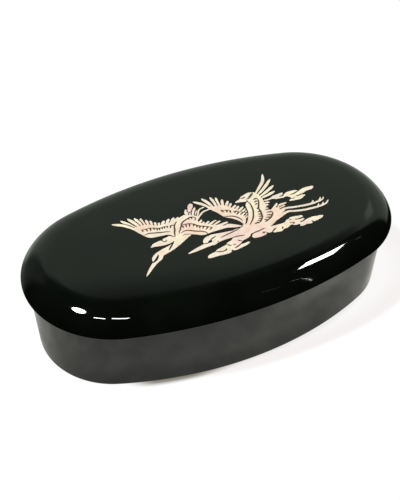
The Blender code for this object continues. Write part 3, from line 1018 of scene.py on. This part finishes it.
def make_world():
    """A dark room with one broad bright backdrop behind the box, and white wherever the camera looks."""
    world = bpy.data.worlds.new("studio")
    world.use_nodes = True
    bpy.context.scene.world = world
    nodes = Nodes(world.node_tree)
    way = nodes.add("ShaderNodeSeparateXYZ", {0: nodes.add("ShaderNodeTexCoord").outputs["Generated"]})
    x, y, z = way.outputs
    around = nodes.times(nodes.math("ARCTAN2", x, y), 180 / pi)
    rise = nodes.times(nodes.math("ARCSINE", z), 180 / pi)

    def shifted(value, other, limit, share):
        """The value plus a share of how far the other one is below a limit."""
        lack = nodes.larger(nodes.minus(limit, other), 0.0)
        return nodes.plus(value, nodes.times(lack, share))

    def between(value, rise_from, rise_to, fall_from, fall_to):
        """1 between the middle two angles and 0 beyond the outer two."""
        return nodes.times(nodes.ramp(value, rise_from, rise_to), nodes.fall(value, fall_from, fall_to))

    # the backdrop: dimmer at its left, narrower towards the box, with a slanting top
    left = nodes.ramp(around, *LEFT_EDGE)
    main = nodes.ramp(shifted(around, rise, *MAIN_SLANT), *MAIN_EDGE)
    right = nodes.fall(shifted(around, rise, *RIGHT_SLANT), *RIGHT_EDGE)
    height = shifted(rise, around, *TOP_SLANT)
    top = nodes.plus(nodes.ramp(height, *TOP_EDGE), nodes.ramp(height, *HAZE_EDGE))
    backdrop = nodes.times(nodes.times(left, main), nodes.times(right, top))
    beside = nodes.math("ABSOLUTE", nodes.minus(around, GLOW_GAP_CENTRE))
    glow = nodes.times(between(rise, *GLOW_ELEVATION), nodes.ramp(beside, *GLOW_GAP_EDGE))
    backdrop = nodes.times(backdrop, nodes.plus(nodes.times(glow, GLOW_SHARE), 1.0))
    window = nodes.times(between(around, *WINDOW_AZIMUTH), between(rise, *WINDOW_ELEVATION))
    radiance = nodes.plus(nodes.times(backdrop, BACKDROP_RADIANCE), ROOM_RADIANCE)
    radiance = nodes.plus(radiance, nodes.times(window, WINDOW_RADIANCE))
    seen = nodes.seen()
    nodes.fill(world.node_tree.nodes["Background"], {
        "Color": nodes.blend(seen, BACKDROP_TINT, WHITE),
        "Strength": nodes.mix(seen, radiance, 1.0),
    })


FLOOR_RADIUS = 0.5
FLOOR_STEPS = 96
FLOOR_DROP = 0.0002
FLOOR_COLOUR = (0.05, 0.05, 0.05, 1.0)
FLOOR_ROUGHNESS = 0.9
FLOOR_GLOW = 0.98
OVAL_POWER = 2.3

# What the lacquer mirrors is a painted reflection of the floor, with painted shade at the base's foot and
# painted light beyond the right front, as ramps over x in metres or over a reach that is 1 at the base's
# outline
PAINTED_REFLECTION_GLOW = 0.77
REFLECTED_TINT = (0.985, 1.0, 0.91)
MOTTLE_SCALE = 60.0
MOTTLE_SHARE = 0.12
UNEVEN_SCALE = 75.0
UNEVEN_LIGHT = (0.35, 0.65, 0.9, 1.1)
MIRRORED_SHADE_REACH = (1.05, 1.3, 0.6, 1.0)
MIRRORED_SHADE_X = (0.033, 0.066, 0.6, 1.0)
MIRRORED_LIGHT_FROM_X = (0.01, 0.06)
MIRRORED_LIGHT_TO_X = (0.062, 0.085)
MIRRORED_LIGHT_REACH = (1.3, 1.5, -0.22, 0.6)
CLEAR_REACH = (1.8, 1.9)

# What the camera sees: a faint painted shadow to the right, and a painted contact shadow under the left
# front
SHADOW_SHIFT = (25.0 * MM, -5.0 * MM)
SHADOW_TINT = (0.905, 0.875, 0.865)
SHADOW_EDGE = (0.95, 1.04)
SHADOW_DEPTH = (0.75, 0.97, 0.5, 1.1)
FOOT_SHADOW_TINT = (0.25, 0.235, 0.19)
FOOT_SHADOW_REACH = (0.945, 1.005)
FOOT_SHADOW_FROM_X = (-0.061, -0.046)
FOOT_SHADOW_TO_X = (-0.032, -0.006, 1.0, 0.15)


def make_floor():
    """A white table that glows: white with painted shadows as the camera sees it, and a greyer painted
    reflection with painted shade and light where the lacquer mirrors it.
    """
    data = bpy.data.meshes.new("floor")
    turns = [2 * pi * step / FLOOR_STEPS for step in range(FLOOR_STEPS)]
    rim = [(FLOOR_RADIUS * cos(turn), FLOOR_RADIUS * sin(turn), 0.0) for turn in turns]
    data.from_pydata(rim, [], [tuple(range(FLOOR_STEPS))])
    material, nodes, place, shader = new_material("floor_white_painted_shade")
    x, y, _ = nodes.add("ShaderNodeSeparateXYZ", {0: place}).outputs

    def reach_from(centre_x, centre_y):
        """Distance from a centre, 1 on an oval the size of the base."""
        total = 0.0
        for value, centre, size in ((x, centre_x, BASE_LENGTH), (y, centre_y, BASE_WIDTH)):
            off = nodes.math("ABSOLUTE", nodes.minus(value, centre))
            part = nodes.math("POWER", nodes.math("DIVIDE", off, size / 2), OVAL_POWER)
            total = nodes.plus(part, total)
        return nodes.math("POWER", total, 1 / OVAL_POWER)

    # painted reflection that the lacquer mirrors: painted shade at the foot, and at the right front more
    # painted shade near the box and painted light beyond it, a little uneven
    reach = reach_from(0.0, 0.0)
    mottled = nodes.plus(reach, nodes.times(nodes.noise(place, MOTTLE_SCALE, 3.0), MOTTLE_SHARE))
    # painted shade of the box on the mirrored floor, darkest at the foot
    mirrored_shade = nodes.larger(nodes.ramp(mottled, *MIRRORED_SHADE_REACH), nodes.ramp(x, *MIRRORED_SHADE_X))
    # at the right front: painted shade near the box, then painted light of the lit floor beyond it
    front = nodes.minus(nodes.ramp(x, *MIRRORED_LIGHT_FROM_X), nodes.ramp(x, *MIRRORED_LIGHT_TO_X))
    bright = nodes.times(front, nodes.ramp(mottled, *MIRRORED_LIGHT_REACH))
    uneven = nodes.ramp(nodes.noise(place, UNEVEN_SCALE), *UNEVEN_LIGHT)
    # the glow of the painted reflection, with its painted shade and light
    near = nodes.times(nodes.plus(mirrored_shade, bright), nodes.times(uneven, PAINTED_REFLECTION_GLOW))

    # what the camera sees: white, with the painted shadow and the painted contact shadow at the foot
    shadow_reach = reach_from(*SHADOW_SHIFT)
    shade = nodes.times(nodes.fall(shadow_reach, *SHADOW_EDGE), nodes.ramp(shadow_reach, *SHADOW_DEPTH))
    # painted contact shadow under the left front of the base
    line = nodes.times(nodes.ramp(x, *FOOT_SHADOW_FROM_X), nodes.ramp(x, *FOOT_SHADOW_TO_X))
    colour = nodes.blend(shade, WHITE, SHADOW_TINT)
    colour = nodes.blend(nodes.times(nodes.fall(reach, *FOOT_SHADOW_REACH), line), colour, FOOT_SHADOW_TINT)

    seen = nodes.seen()
    nodes.fill(shader, {
        "Base Color": FLOOR_COLOUR,
        "Roughness": FLOOR_ROUGHNESS,
        "Specular IOR Level": 0.0,
        # the camera sees the painted shadows; the lacquer mirrors the painted reflection
        "Emission Color": nodes.blend(seen, REFLECTED_TINT, colour),
        "Emission Strength": nodes.mix(seen, near, FLOOR_GLOW),
    })
    clear = nodes.add("ShaderNodeBsdfTransparent")
    solid = nodes.larger(seen, nodes.fall(reach, *CLEAR_REACH))
    mixed = nodes.add("ShaderNodeMixShader", {0: solid, 1: clear.outputs[0], 2: shader.outputs[0]})
    nodes.fill(material.node_tree.nodes["Material Output"], {"Surface": mixed.outputs[0]})
    data.materials.append(material)
    floor = put_in_scene("floor", data)
    floor.location.z = -FLOOR_DROP


def main():
    bpy.context.scene.view_settings.view_transform = "Standard"
    place_camera()
    for name, values in LAMPS.items():
        add_lamp(name, *values)
    make_world()
    make_floor()
    polished = lacquer("lid_lacquer_polished", BLACK, LID_ROUGHNESS, POLISHED_RIPPLE)
    lid = loft("lid_shell", lid_rings(), polished)
    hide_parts("lid")
    satin = lacquer("base_lacquer_satin", BLACK, BASE_ROUGHNESS, SATIN_RIPPLE)
    base = loft("base_shell", base_rings(), satin)
    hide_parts("base")
    shell = pearl("pearl_inlay")
    brown = lacquer("line_lacquer", BROWN, LINE_ROUGHNESS, SATIN_RIPPLE)
    art = Picture()
    for draw in (clouds, left_crane, right_crane):
        draw(art)
    places, figures = art.plates()
    for name, faces in figures.items():
        material = brown if name == DRAWN else shell
        piece = inlay_piece(name + "_inlay", places, [tuple(face) for face in faces], material)


main()
